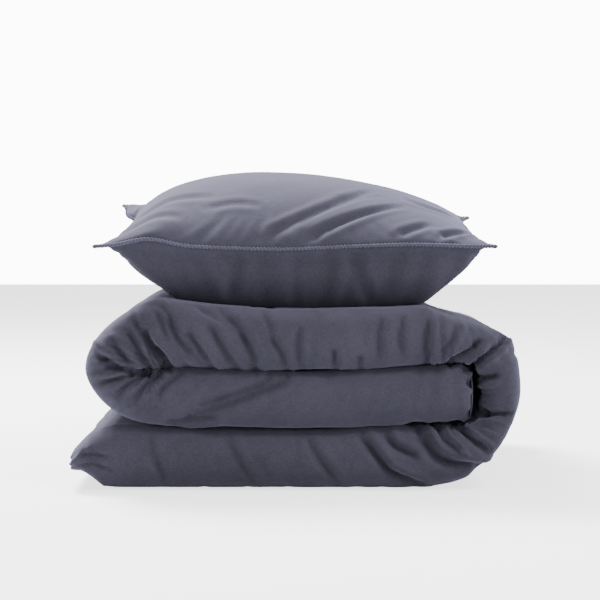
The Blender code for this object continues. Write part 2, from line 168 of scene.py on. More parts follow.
def strip_path(steps=24):
    """The strip's outer and inner lines in X and Z, and how far along it each point is."""
    gap = LAYER_GAP / 2
    roof = STACK_HEIGHT
    end_x = -STACK_WIDTH / 2
    wall_x = STACK_WIDTH / 2
    bottom_x = np.linspace(end_x + 0.075, BEND_X, 24)
    top_x = np.linspace(BEND_X, LEFT_X, 24)
    middle_x = np.linspace(LEFT_X, INNER_END_X, 24)
    low, high = under_middle(BEND_X) - gap, over_middle(BEND_X) + gap
    left_low, left_high = under_middle(LEFT_X) + gap, over_middle(LEFT_X)
    # The right bend hangs a little: it is fullest low down and has a shoulder at the top
    bend = smooth_line([
        (BEND_X, 0), (wall_x - 0.105, 0.009), (wall_x - 0.061, 0.032), (wall_x - 0.028, 0.070),
        (wall_x - 0.008, 0.114), (wall_x, 0.154), (wall_x - 0.004, 0.200), (wall_x - 0.012, 0.236),
        (wall_x - 0.026, 0.252), (wall_x - 0.058, 0.268), (wall_x - 0.100, 0.284), (BEND_X, roof)])
    outer = [
        [[end_x, 0.026], [end_x + 0.018, 0.027], [end_x + 0.036, 0.016], [end_x + 0.054, 0.002]],
        np.stack([bottom_x, 0 * bottom_x], 1)[:-1],
        bend[:-1],
        np.stack([top_x, 0 * top_x + roof], 1)[:-1],
        arc((LEFT_X, left_high), (LEFT_FOLD_REACH, roof - left_high), 90, 180, steps, 1.68)[:-1],
        arc((LEFT_X, left_high), (LEFT_FOLD_REACH, left_high - left_low), 180, 270, steps, 1.8)[:-1],
        np.stack([middle_x, under_middle(middle_x) + gap], 1)]
    inside_x = BEND_X + BEND_INSIDE - 0.007
    hollow_low = smooth_line([
        (BEND_X, low), (BEND_X + 0.045, low + 0.002), (inside_x - 0.030, low + 0.006),
        (inside_x - 0.008, low + 0.022), (inside_x, (low + high) / 2)])
    hollow_high = smooth_line([
        (inside_x, (low + high) / 2), (inside_x - 0.006, high - 0.014),
        (inside_x - 0.026, high + 0.004), (BEND_X + 0.045, high + 0.001), (BEND_X, high)])
    count = len(bend) // 2
    inner = [
        [[end_x, 0.058], [end_x + 0.018, 0.074], [end_x + 0.036, 0.088], [end_x + 0.054, 0.097]],
        np.stack([bottom_x, under_middle(bottom_x) - gap], 1)[:-1],
        resample(hollow_low, count)[:-1],
        resample(hollow_high, len(bend) - count + 1)[:-1],
        np.stack([top_x, over_middle(top_x) + gap], 1)[:-1],
        arc((LEFT_X, left_high), (LEFT_FOLD_REACH * 0.22, gap), 90, 180, steps)[:-1],
        arc((LEFT_X, left_high), (LEFT_FOLD_REACH * 0.22, gap), 180, 270, steps)[:-1],
        np.stack([middle_x, over_middle(middle_x) - gap], 1)]
    outer, inner = np.concatenate(outer), np.concatenate(inner)
    return outer, inner, lengths_along((outer + inner) / 2)


PATH_OUTER, PATH_INNER, PATH_LENGTH = strip_path()
STRIP_LENGTH = PATH_LENGTH[-1]
print(f"the strip is {STRIP_LENGTH:.3f} m long")


def fold_strip(y, n, s):
    """World positions of strip points: y across, n through (0 at its middle), s along."""
    along = np.clip(s, 0, STRIP_LENGTH)
    lines = []
    for line in (PATH_OUTER, PATH_INNER):
        lines.append(np.stack([np.interp(along, PATH_LENGTH, line[:, k]) for k in (0, 1)], -1))
    depth = (n / LAYER + 0.5)[..., None]
    place = lines[0] + (lines[1] - lines[0]) * depth
    place[..., 0] += (s < 0) * s + (s > STRIP_LENGTH) * (s - STRIP_LENGTH)
    return np.stack([place[..., 0], y, place[..., 1]], -1)


# %% [markdown]
# The pillow's weight presses a shallow hollow into the top layer, and the stack hangs a little
# lower towards the right and the back. The pillow's underside later follows the same shape, so
# the two stay just clear of each other.

# %% The hollow under the pillow
RIGHT_DROOP = 0.007
BACK_DROOP = 0.018


def pressed_in(x, y, depth=0.020):
    """How far the top of the stack lies below its full height at (x, y)."""
    across = np.clip(1 - (np.abs(x - 0.02) / 0.245) ** 2, 0, 1)
    deep = np.clip(1 - (np.abs(y + 0.06) / 0.30) ** 4, 0, 1)
    to_right = np.clip((x - 0.06) / 0.20, 0, 1)
    to_back = np.clip((y + 0.20) / 0.45, 0, 1)
    return depth * across * deep + to_right ** 2 * (RIGHT_DROOP + BACK_DROOP * to_back)


def press_top(points):
    """Lowers the top layer's points by the hollow, most at its top and not at its foot."""
    x, y, z = points[..., 0], points[..., 1], points[..., 2]
    share = np.clip((z - over_middle(x)) / (STACK_HEIGHT - over_middle(x)), 0, 1)
    pressed = points.copy()
    pressed[..., 2] = z - pressed_in(x, y) * share
    return pressed


# %% [markdown]
# ## The ply across the strip
#
# Across the strip the duvet is one long ply: its inner third, a tight fold at the back, its
# outer third, the big fold at the front and its top third. The cloth goes up one face of that
# ply and down the other, so a ring of points round it is one slice of the cover. Points are
# close together where the cloth shows and far apart where it is hidden between plies.


# %% The slice across the strip
def spaced_places(start, end, fine, coarse, from_start, from_end):
    """Places from start to end: fine steps near the ends that show, coarse ones between."""
    length = abs(end - start)
    marks, here = [0.0], 0.0
    while here < length:
        near = here < from_start or length - here < from_end
        here += fine if near else coarse
        marks.append(min(here, length))
    marks = np.array(marks)
    if marks[-1] - marks[-2] < 0.4 * fine:
        marks = np.delete(marks, -2)
    return start + np.sign(end - start) * marks


def ply_stations(fine=0.0042, outer=0.015, hidden=0.045):
    """(y, n, heading) along the ply's middle, and the distance to its nearer edge."""
    rows = []
    for y in spaced_places(FRONT_FOLD_Y, BACK_FOLD_Y, fine, hidden, 0.006, 0.006)[:-1]:
        rows.append((y, 0.0, 0.0))
    for a in np.linspace(90, -90, 9):
        a = math.radians(a)
        r = PLY_PITCH / 2
        rows.append((BACK_FOLD_Y + r * math.cos(a), -r + r * math.sin(a), a - math.pi / 2))
    for y in spaced_places(BACK_FOLD_Y, FRONT_FOLD_Y, fine, outer, 0.008, 0.030)[1:-1]:
        rows.append((y, -PLY_PITCH, math.pi))
    for a in np.linspace(-90, -270, 39):
        a = math.radians(a)
        y, n = FRONT_FOLD_Y + PLY_PITCH * math.cos(a), PLY_PITCH * math.sin(a)
        rows.append((y, n, a - math.pi / 2))
    for y in spaced_places(FRONT_FOLD_Y, STRIP_BACK - 0.002, fine, hidden, 0.030, 0.022)[1:]:
        rows.append((y, PLY_PITCH, 0.0))
    rows = np.array(rows)
    length = lengths_along(rows[:, :2])
    edge = np.minimum(length, length[-1] - length)
    return rows, edge


EDGE_TAPER = 0.030


def edge_loft(distance, taper=EDGE_TAPER):
    """How full the ply is near its sewn edge, from 0 at the edge to 1."""
    t = np.clip(distance / taper, 0, 1)
    return np.sqrt(1 - (1 - t) ** 2.2)


def press_front(ring, fullness=2.5):
    """The front fold, a little squarer than round, as the layers press on each other."""
    pressed = ring.copy()
    ahead = ring[:, 0] < FRONT_FOLD_Y
    y, n = ring[ahead, 0] - FRONT_FOLD_Y, ring[ahead, 1]
    size = squared_off(np.arctan2(n, y), fullness)
    pressed[ahead] = np.stack([FRONT_FOLD_Y + y * size, n * size], 1)
    return pressed


def build_ring():
    """The slice as a ring: y, n and which way is out of the ply, for each of its points."""
    rows, edge = ply_stations()
    if len(rows) % 2 == 0:
        rows, edge = np.delete(rows, 3, 0), np.delete(edge, 3)
    loft = edge_loft(edge) * HALF_PLY
    normal = np.stack([-np.sin(rows[:, 2]), np.cos(rows[:, 2])], 1)
    face = rows[:, :2] + normal * loft[:, None]
    back = rows[:, :2] - normal * loft[:, None]
    ring = np.concatenate([face, back[-2:0:-1]])
    middle = np.concatenate([rows[:, :2], rows[-2:0:-1, :2]])
    return ring, middle, len(rows)


RING, RING_MIDDLE, FACE_COUNT = build_ring()
print(f"{len(RING)} points round a slice, {FACE_COUNT} of them on the face panel")


# %% Soft, seeded unevenness
def unevenness(points, size, seed):
    """Smooth values from about -1 to 1 over points (n, 3), with lumps about that size."""
    rng = np.random.default_rng(seed)
    value = np.zeros(len(points))
    for _ in range(24):
        direction = rng.normal(size=3)
        direction /= np.linalg.norm(direction)
        wave = 2 * np.pi / (size * rng.uniform(1.2, 3.0))
        value += np.sin(points @ direction * wave + rng.uniform(0, 2 * np.pi))
    return value / 5


# %% The slices along the strip
def strip_stations(fine=0.0047):
    """Distances along the strip, an odd number of them and evenly spaced."""
    count = 2 * round(STRIP_LENGTH / fine / 2)
    return np.linspace(0, STRIP_LENGTH, count + 1)


HEM_TAPER = 0.036
MOUTH_TAPER = 0.018
SCALLOP_PITCH = 0.033
SCALLOP_DEPTH = 0.006
INNER_BULGE = 0.011
INNER_CRUMPLE = 0.005


def build_strip():
    """Grid of points, slices by ring, with the cloth closing to a seam at both ends."""
    stations = strip_stations()
    stations[-2] = STRIP_LENGTH - 0.0004
    pressed = np.clip((STRIP_LENGTH - 0.012 - stations) / 0.05, 0, 1)[:, None, None]
    ring = RING + (press_front(RING) - RING) * pressed
    middle = RING_MIDDLE + (press_front(RING_MIDDLE) - RING_MIDDLE) * pressed
    hem = edge_loft(stations, HEM_TAPER)
    mouth = np.maximum(edge_loft(STRIP_LENGTH - stations, MOUTH_TAPER), MOUTH_HALF / HALF_PLY)
    mouth[-1] = 0
    section = middle + (ring - middle) * np.minimum(hem, mouth)[:, None, None]
    s = np.broadcast_to(stations[:, None], section.shape[:2])
    points = fold_strip(section[..., 0], section[..., 1], s)
    # The sewn end at the bottom left is drawn up into scallops by its stitching
    round_way = lengths_along(np.concatenate([RING_MIDDLE, RING_MIDDLE[:1]]))[1:]
    scallop = np.abs(np.sin(np.pi * round_way / SCALLOP_PITCH + 0.6))
    points[..., 0] += SCALLOP_DEPTH * (1 - scallop) * np.exp(-stations / 0.022)[:, None]
    # The inside of the right bend is crumpled, and bulges towards the end tucked into it
    bend_middle = PATH_LENGTH[np.argmax(PATH_OUTER[:, 0])]
    inner_side = np.clip(section[..., 1] / (LAYER / 2), 0, 1) ** 1.5
    in_bend = np.exp(-((s - bend_middle) / 0.075) ** 4)
    near = inner_side * in_bend * np.clip((SHOWN_FROM_Y - section[..., 0]) / 0.06, 0, 1)
    crumple = unevenness(np.stack([s, 0.4 * section[..., 0], 0 * s], -1).reshape(-1, 3), 0.035, 51)
    points[..., 0] -= near * (INNER_BULGE + INNER_CRUMPLE * crumple.reshape(s.shape))
    return press_top(points), stations


strip_points, strip_places = build_strip()
print("strip grid", strip_points.shape)


# %% [markdown]
# ## Creases
#
# Where a thick duvet bends, its cover is caught in sharp valleys with plump cloth between them.
# The ones that show are laid one by one, each as a line seen from the front, with its depth and
# its width. They fan out from the inside of both bends.

# %% The creases that show at the front
CREASES = [  # points (x, z) in metres, depth, width, in millimetres
    # The left fold: a fan from the point where its top and bottom halves meet
    ([(-0.337, 0.230), (-0.300, 0.211), (-0.268, 0.195), (-0.236, 0.191)], 12, 7),
    ([(-0.240, 0.268), (-0.238, 0.250), (-0.226, 0.228), (-0.205, 0.200)], 16, 10),
    ([(-0.224, 0.234), (-0.210, 0.216), (-0.212, 0.200)], 9, 7),
    ([(-0.270, 0.262), (-0.254, 0.232), (-0.236, 0.200)], 7, 9),
    ([(-0.298, 0.248), (-0.280, 0.222), (-0.262, 0.199)], 6, 8),
    ([(-0.306, 0.201), (-0.282, 0.197)], 7, 6),
    ([(-0.328, 0.176), (-0.300, 0.180), (-0.262, 0.188)], 9, 6),
    ([(-0.240, 0.188), (-0.264, 0.178), (-0.284, 0.160)], 7, 7),
    ([(-0.214, 0.190), (-0.238, 0.176), (-0.256, 0.152)], 6, 8),
    ([(-0.180, 0.192), (-0.205, 0.176), (-0.220, 0.158)], 5, 8),
    # The middle layer: long slanting pulls
    ([(-0.004, 0.184), (-0.050, 0.164), (-0.105, 0.142), (-0.170, 0.122)], 7, 10),
    ([(-0.034, 0.184), (-0.090, 0.160), (-0.150, 0.140)], 6, 9),
    ([(-0.120, 0.120), (-0.160, 0.116), (-0.200, 0.112)], 6, 8),
    # The right bend: sharp valleys that run out from its hollow
    ([(0.300, 0.250), (0.282, 0.226), (0.252, 0.207)], 15, 9),
    ([(0.345, 0.254), (0.318, 0.228), (0.280, 0.196)], 13, 7),
    ([(0.328, 0.188), (0.306, 0.182), (0.284, 0.174)], 12, 8),
    ([(0.354, 0.124), (0.322, 0.126), (0.288, 0.123)], 11, 7),
    ([(0.262, 0.108), (0.285, 0.086), (0.308, 0.068)], 10, 7),
    ([(0.104, 0.092), (0.130, 0.060), (0.156, 0.030), (0.206, 0.008)], 11, 9),
    ([(0.198, 0.103), (0.214, 0.074), (0.242, 0.050), (0.308, 0.032)], 13, 12),
    ([(0.146, 0.094), (0.160, 0.074), (0.192, 0.058)], 8, 8),
    ([(0.230, 0.104), (0.240, 0.084), (0.262, 0.066)], 6, 9),
    # The top layer: pulls that end in its lower crease
    ([(0.216, 0.280), (0.210, 0.242), (0.214, 0.208)], 6, 8),
    ([(0.062, 0.230), (0.066, 0.198)], 6, 6),
    ([(0.104, 0.220), (0.106, 0.198)], 5, 6),
    ([(0.142, 0.284), (0.134, 0.252), (0.136, 0.216)], 4, 9),
    ([(0.010, 0.270), (0.004, 0.236), (0.010, 0.200)], 4, 9),
    ([(-0.040, 0.250), (-0.022, 0.222), (-0.014, 0.196)], 5, 8),
    ([(-0.090, 0.262), (-0.070, 0.226), (-0.064, 0.196)], 6, 9),
    ([(-0.140, 0.272), (-0.118, 0.234), (-0.096, 0.200)], 6, 10),
    ([(-0.176, 0.262), (-0.150, 0.226), (-0.136, 0.202)], 6, 9),
    ([(-0.206, 0.282), (-0.190, 0.250), (-0.172, 0.226)], 7, 8),
    ([(-0.262, 0.284), (-0.252, 0.262), (-0.248, 0.244)], 4, 7),
    ([(-0.222, 0.292), (-0.214, 0.268), (-0.206, 0.250)], 4, 7),
    ([(-0.110, 0.286), (-0.090, 0.264), (-0.076, 0.244)], 4, 7),
    ([(-0.052, 0.290), (-0.040, 0.264), (-0.036, 0.240)], 3, 7),
    ([(0.176, 0.286), (0.168, 0.250), (0.172, 0.222)], 4, 9),
    ([(0.262, 0.272), (0.252, 0.246), (0.238, 0.226)], 4, 8),
    # The bottom layer: slight upright folds
    ([(-0.236, 0.094), (-0.228, 0.060), (-0.214, 0.020)], 3, 9),
    ([(-0.110, 0.090), (-0.092, 0.050), (-0.070, 0.016)], 3, 9),
    ([(0.020, 0.088), (0.040, 0.050), (0.070, 0.012)], 4, 9),
    ([(-0.350, 0.058), (-0.330, 0.060), (-0.305, 0.056)], 4, 6),
    ([(-0.352, 0.040), (-0.330, 0.044), (-0.300, 0.036)], 4, 6),
]


CREASE_WIDTH = 0.72
CREASE_DEPTH = 1.25


def crease_field(points, normals):
    """How far each point is pushed in, and how much of a crease it is, from 0 to 1."""
    seen = (points[:, 1] < SHOWN_FROM_Y) & (normals[:, 1] < -0.15)
    where = points[seen][:, [0, 2]]
    pushed, share = np.zeros(len(where)), np.zeros(len(where))
    for line, depth, width in CREASES:
        width = CREASE_WIDTH * width / 1000
        line = resample(smooth_line(line), 24)
        gap = where[:, None] - line[None]
        away = np.linalg.norm(gap, axis=2)
        nearest = away.argmin(1)
        here = np.arange(len(where))
        far = away[here, nearest] / width
        along = nearest / (len(line) - 1)
        heading = np.gradient(line, axis=0)[nearest]
        side = np.sign(heading[:, 0] * gap[here, nearest, 1] - heading[:, 1] * gap[here, nearest, 0])
        fade = np.clip(6 * along * (1 - along), 0, 1) ** 0.7
        fade = np.maximum(fade, 0.7 * (along > 0.5))
        valley = np.exp(-far ** 1.15)
        ridge = np.exp(-((far - 2.0) / 1.0) ** 2) * (0.30 + 0.16 * side)
        pushed += CREASE_DEPTH * depth / 1000 * (fade * valley - fade * ridge * (far < 5))
        # The share also holds the cloth in the solver, and the material paints shade into the creases
        # with it.
        share = np.maximum(share, np.exp(-(1.3 * far) ** 2) * fade * min(1, depth / 9))
    all_pushed, all_share = np.zeros(len(points)), np.zeros(len(points))
    all_pushed[seen], all_share[seen] = np.clip(pushed, -0.007, 0.024), share
    return all_pushed, all_share


def ripple_field(points, normals, along):
    """Soft ripples, longer than wide, that lean with the pull of the folds."""
    x, z = points[:, 0], points[:, 2]
    in_top = z > over_middle(x)
    in_middle = ~in_top & (z > under_middle(x))
    lean = np.where(in_top, np.interp(x, [-0.35, -0.15, 0.02, 0.2, 0.3], [0.6, 0.7, 0.25, -0.1, 0.8]),
                    np.where(in_middle, np.interp(x, [-0.35, -0.2, 0.1, 0.3], [-1.2, -1.3, -0.5, 0.1]),
                             np.interp(x, [-0.35, 0.05, 0.2, 0.35], [0.1, 0.35, 0.9, 1.4])))
    strength = np.where(in_top, np.interp(x, [-0.3, -0.2, 0.0, 0.1, 0.3], [0.8, 1.3, 0.9, 0.5, 0.6]),
                        np.where(in_middle, 0.35, 0.35))
    across = x + lean * (z - 0.15)
    streaks = np.stack([across, points[:, 1] * 0.3, z * 0.22], 1)
    valley = np.exp(-(unevenness(streaks, 0.030, 21) / 0.40) ** 2)
    patch = np.clip(0.5 + 0.6 * unevenness(points, 0.11, 22), 0, 1)
    front = strength * (0.0068 * valley * patch - 0.0018 * unevenness(streaks, 0.055, 23))
    # Round the back and over the top the ripples run across the strip
    crossing = np.stack([along, points[:, 1] * 0.22, 0 * along], 1)
    wrinkle = np.exp(-(unevenness(crossing, 0.042, 24) / 0.35) ** 2) * np.clip(
        0.3 + 0.8 * unevenness(points, 0.16, 25), 0, 1)
    elsewhere = 0.0055 * wrinkle - 0.0022 * unevenness(points, 0.10, 26)
    facing = np.clip((-normals[:, 1] - 0.1) / 0.5, 0, 1) * (points[:, 1] < SHOWN_FROM_Y)
    return facing * front + (1 - facing) * elsewhere


# %% Helpers that turn grids into meshes
def grid_faces(rows, columns, ring=True):
    """Quads over a grid of points, whose rows close up if it is a ring."""
    ids = np.arange(rows * columns).reshape(rows, columns)
    right = np.roll(ids, -1, 1) if ring else ids[:, 1:]
    left = ids if ring else ids[:, :-1]
    quads = np.stack([left[:-1], right[:-1], right[1:], left[1:]], -1).reshape(-1, 4)
    return quads[:, ::-1] if ring else quads


def mesh_object(name, points, faces):
    mesh = bpy.data.meshes.new(name)
    mesh.from_pydata(points.reshape(-1, 3).tolist(), [], faces.tolist())
    mesh.shade_smooth()
    made = bpy.data.objects.new(name, mesh)
    bpy.context.scene.collection.objects.link(made)
    return made


def weld(piece, distance):
    """Joins points that lie together, as along a seam, and drops faces that vanish."""
    bm = bmesh.new()
    bm.from_mesh(piece.data)
    bmesh.ops.remove_doubles(bm, verts=bm.verts, dist=distance)
    bmesh.ops.dissolve_degenerate(bm, edges=bm.edges, dist=1e-7)
    bmesh.ops.recalc_face_normals(bm, faces=bm.faces)
    bm.to_mesh(piece.data)
    bm.free()
    piece.data.shade_smooth()


def grid_normals(points, faces):
    """Unit normals at the points of a quad mesh."""
    flat = points.reshape(-1, 3)
    a, b, c, d = (flat[faces[:, k]] for k in range(4))
    across = np.cross(c - a, d - b)
    total = np.zeros_like(flat)
    for k in range(4):
        for axis in range(3):
            total[:, axis] += np.bincount(faces[:, k], across[:, axis], len(flat))
    return total / np.maximum(np.linalg.norm(total, axis=1), 1e-12)[:, None]


strip_faces = grid_faces(*strip_points.shape[:2])
print(len(strip_faces) * 2, "triangles on the cover")

# %% [markdown]
# ## Settling the cloth
#
# Blender's Cloth modifier could do this, but here each thread direction needs its own rest
# length: inside a bend the cover has far more cloth than room, and along the outside it is just
# taut. So the cloth is settled with a small solver of the same kind. Every pair of neighbours is
# pulled towards its rest length in turn, the filling pulls each point gently back to its place,
# and no point may go further in or out than there is room for. Where there is too much cloth it
# has to buckle, and that is what a crease is.


# %% The solver
def link_sets(rows, columns, ring=True):
    """Pairs of neighbours, in sets where no point comes twice."""
    ids = np.arange(rows * columns).reshape(rows, columns)

    def across(start, reach, stride, grid_from=ids, grid_to=ids):
        far = np.roll(grid_to, -reach, 1) if ring else grid_to[:, reach:]
        near = grid_from if ring else grid_from[:, :-reach]
        return near[:, start::stride], far[:, start::stride]

    sets = []
    for start in (0, 1):
        low = ids[start:-1:2]
        high = ids[start + 1::2][:len(low)]
        sets += [("along", low, high), ("round", *across(start, 1, 2)),
                 ("shear", *across(0, 1, 1, low, high)), ("shear", *across(0, 1, 1, high, low))]
    for start in range(4):
        for first in (start, start + 2) if start < 2 else ():
            low = ids[first:-2:4]
            sets.append(("stiff", low, ids[first + 2::4][:len(low)]))
        if not ring or columns % 4 == 0:
            sets.append(("stiff", *across(start, 2, 4)))
    return [(kind, a.ravel(), b.ravel()) for kind, a, b in sets if a.size]


COVER_STEPS = 60
CASE_STEPS = 150
GIVE = {"along": 1.0, "round": 1.0, "shear": 0.35, "stiff": 0.12}
PUFF = 0.00003  # how far the filling pushes the cloth out at every step


def settle(base, links, normals, room_out, room_in, hold, steps, start, joins=(), puff=0.0):
    """Settles points (n, 3) from base, each link given as kind, ends and rest length."""
    points = base + start
    for _ in range(steps):
        points += (base - points) * hold[:, None] + normals * puff
        for kind, a, b, rest in links:
            gap = points[b] - points[a]
            length = np.sqrt((gap * gap).sum(1))
            share = GIVE[kind] * (1 - rest / np.maximum(length, 1e-9)) / 2
            push = share[:, None] * gap
            points[a] += push
            points[b] -= push
        off = points - base
        out = (off * normals).sum(1)
        points += normals * (np.clip(out, -room_in, room_out) - out)[:, None]
        for a, b in joins:
            points[a] = points[b] = (points[a] + points[b]) / 2
    return points


# %% Settle the duvet's cover
COVER_SLACK = 1.004
MOST_SPARE = 1.25
MOST_OUT = 0.004
MOST_LIFT = 0.007
MOST_IN = 0.014
FLOOR_CLEAR = 0.0002


def settle_strip():
    """The cover settled round its filling, and how much of a crease each point is."""
    rows, columns = strip_points.shape[:2]
    plain_base = strip_points.reshape(-1, 3)
    normals = grid_normals(strip_points, strip_faces)
    pushed, creased = crease_field(plain_base, normals)
    pushed = pushed + ripple_field(plain_base, normals, np.repeat(strip_places, columns))
    # Where it lies on the floor the cloth stays flat
    pushed *= np.clip(plain_base[:, 2] / 0.025, 0.2, 1)
    n = np.tile(RING[:, 1], rows)
    to_plane = np.maximum(LAYER / 2 + LAYER_GAP / 3 - np.abs(n), 0)
    steep = np.abs(normals[:, 2])
    free = np.minimum(MOST_LIFT, to_plane / np.maximum(steep, 0.08))
    base = plain_base - normals * np.maximum(pushed, -free)[:, None]
    # How long each stretch of the strip is on its outer side, which never stretches
    outer_step = np.linalg.norm(np.diff(fold_strip(
        np.zeros(rows), np.full(rows, -LAYER / 2), strip_places), axis=0), axis=1)
    links = []
    for kind, a, b in link_sets(rows, columns):
        length = np.linalg.norm(base[b] - base[a], axis=1)
        rest = length * COVER_SLACK
        if kind in ("along", "shear"):
            full = outer_step[np.minimum(a, b) // columns]
            spare = np.clip(full / np.maximum(length, 1e-6), 1, MOST_SPARE)
            rest = rest * (spare if kind == "along" else (1 + (spare - 1) / 2))
        links.append((kind, a, b, rest))
    # Room to move: up to the next layer or the floor, and inward as far as the filling gives
    room_out = np.maximum(np.minimum(MOST_OUT, free + pushed), 0)
    room_in = np.full(len(base), MOST_IN)
    hold = 0.04 + 0.35 * creased ** 2
    at_mouth = np.repeat(strip_places > STRIP_LENGTH - 0.014, columns)
    room_out[at_mouth], room_in[at_mouth], hold[at_mouth] = 0, 0, 1
    start = normals * (0.0012 * unevenness(plain_base * [1, 1, 0.35], 0.028, 11))[:, None]
    start[at_mouth] = 0
    ids = np.arange(rows * columns).reshape(rows, columns)
    inner = np.arange(1, FACE_COUNT - 1)
    joins = [(ids[row, inner], ids[row, columns - inner]) for row in (0, rows - 1)]
    settled = settle(base, links, normals, room_out, room_in, hold, COVER_STEPS, start, joins,
                     PUFF)
    settled[:, 2] = np.maximum(settled[:, 2], FLOOR_CLEAR)
    return settled.reshape(strip_points.shape), creased


settled_strip, strip_crease_shade = settle_strip()
moved = np.linalg.norm(settled_strip - strip_points, axis=-1)
print(f"settling moved the cover by up to {1000 * moved.max():.1f} mm")


# %% The cover's mesh
def mark(piece, name, values):
    """Stores a value from 0 to 1 at each point, which a material can read."""
    layer = piece.data.attributes.new(name, "FLOAT", "POINT")
    layer.data.foreach_set("value", np.asarray(values, np.float32).ravel())


cover = mesh_object("duvet_cover", settled_strip, strip_faces)
# The crease share is stored for the material, which paints shade into the creases with it.
mark(cover, "crease", strip_crease_shade)
weld(cover, 1e-5)
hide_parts("duvet_cover_face", "duvet_cover_back", "duvet_casing_face", "duvet_casing_back",
            "duvet_filling")
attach(cover, "duvet")

# %% [markdown]
# ## Ties and loops at the sewn end
#
# A cover keeps its duvet in place with a tie in each corner, knotted to a loop on the duvet. The
# ones at the flattened end have to lie where the cloth lies, so they are laid again along the
# strip, each point keeping its place along, across and through it.


# %% Lay the corner pieces again
def lay_again(name, node):
    """A copy of the piece, moved to where the flattened end of the strip lies."""
    low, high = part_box(name)
    source = node.data
    points = np.empty(len(source.vertices) * 3, np.float32)
    source.vertices.foreach_get("co", points)
    x, y, z = points.reshape(-1, 3).T.astype(float)
    through = 0.8 * (z - LAYER / 2)
    laid = press_top(fold_strip(y, through, x + STACK_WIDTH / 2 + 0.004))
    piece = node.copy()
    piece.data = source.copy()
    piece.name = piece.data.name = name + "_laid"
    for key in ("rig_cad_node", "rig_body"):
        if key in piece:
            del piece[key]
    piece.parent = None
    bpy.context.scene.collection.objects.link(piece)
    piece.data.vertices.foreach_set("co", laid.astype(np.float32).ravel())
    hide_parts(name)
    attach(piece, "duvet")
    return piece


laid_again = [lay_again(name, node) for name, node in sorted(frame["nodes"].items())
              if ("corner_tie" in name or "corner_loop" in name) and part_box(name)[1][0] < 0]
print(len(laid_again), "corner pieces laid again")

# %% [markdown]
# ## The pillow
#
# The case is two panels sewn along the rim. Its top is fullest a little to the left, its
# underside rests in the hollow, and the rim between them isn't level. The panels are settled
# together with the same solver, and the insert and the tuck flap are then made inside them.

# %% The pillow's shape
case_low, case_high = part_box("pillowcase_top")
base_low, base_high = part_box("pillowcase_base")
PILLOW_WIDTH = case_high[0] - case_low[0]
PILLOW_DEPTH = case_high[1] - case_low[1]
SEAM_Z = (case_low[2] + base_high[2]) / 2
CROWN = case_high[2] - SEAM_Z
DROP = SEAM_Z - base_low[2]
FRONT_PULL_IN = 0.020
LEFT_PULL_IN = 0.042
RIGHT_PULL_IN = 0.026
EAR_HEIGHT = 0.015
EAR_WIDTH = 0.012
CASE_SLACK = 1.012
CASE_OUT = 0.008
CASE_IN = 0.012
CROWDING = np.pi / 2 * 0.94  # how much closer together the points are near the rim


def case_height(u, v):
    """How full the top of the pillow is over (u, v) from -1 to 1, leaning to the left."""
    lean = u + 0.17 * (1 - u ** 2)
    return np.clip(1 - lean ** 2, 0, 1) ** 0.52 * np.clip(1 - v ** 2, 0, 1) ** 0.76


def case_belly(u, v):
    """How deep its underside is: it slopes in from the seam to a rounded patch where it rests."""
    slope_u, slope_v = (1 - np.abs(u)) / 0.37, (1 - np.abs(v)) / 0.17
    round_off = (np.clip(1 - slope_u, 0, 1) ** 2.6 + np.clip(1 - slope_v, 0, 1) ** 2.6) ** (1 / 2.6)
    belly = 1 - np.clip(round_off, 0, 1) ** 1.5
    margin = (u < 0) * np.exp(-((slope_u - 0.12) / 0.13) ** 2)
    return belly * (1 - 0.45 * margin)


def rim_height(u, v):
    """How far the seam is off level: higher at the back, with a hump at the front left."""
    front = np.clip((1 - v) / 2, 0, 1) ** 3
    hump = 0.012 * np.exp(-((u + 0.74) / 0.14) ** 2) + 0.003 * np.exp(-((u - 0.6) / 0.25) ** 2)
    sag = 0.005 * np.exp(-((u + 0.1) / 0.3) ** 2)
    rise = (0.045 - 0.004 * u) * np.clip((1 + v) / 2, 0, 1) ** 1.3
    ear = EAR_HEIGHT * np.exp(-((u + 1) / 0.20) ** 2) * np.exp(-((v - 1) / 0.15) ** 2)
    return front * (hump - sag) - 0.008 + rise + ear


def case_place(u, v, side):
    """Where the point (u, v) of the top panel (side 1) or the base panel (side -1) is."""
    pull_in = np.where(u < 0, LEFT_PULL_IN, RIGHT_PULL_IN) * np.abs(u)
    x = u * PILLOW_WIDTH / 2 - np.sign(u) * pull_in * (1 - v ** 4)
    x -= EAR_WIDTH * np.clip(-u, 0, 1) ** 3 * np.exp(-((v - 0.80) / 0.12) ** 2)
    y = v * (PILLOW_DEPTH / 2 - FRONT_PULL_IN * (1 - u ** 2))
    if side > 0:
        height = rim_height(u, v) + (CROWN - 0.009) * case_height(u, v)
    else:
        belly = case_belly(u, v)
        height = rim_height(u, v) * (1 - belly) - (DROP + pressed_in(x, y)) * belly
    return np.stack([x, y, SEAM_Z + height], -1)


def panel_grid(rows=79, columns=153):
    """(u, v) at each point of a panel."""
    u, v = (np.sin(np.linspace(-1, 1, count) * CROWDING) for count in (columns, rows))
    return np.meshgrid(u / u[-1], v / v[-1])


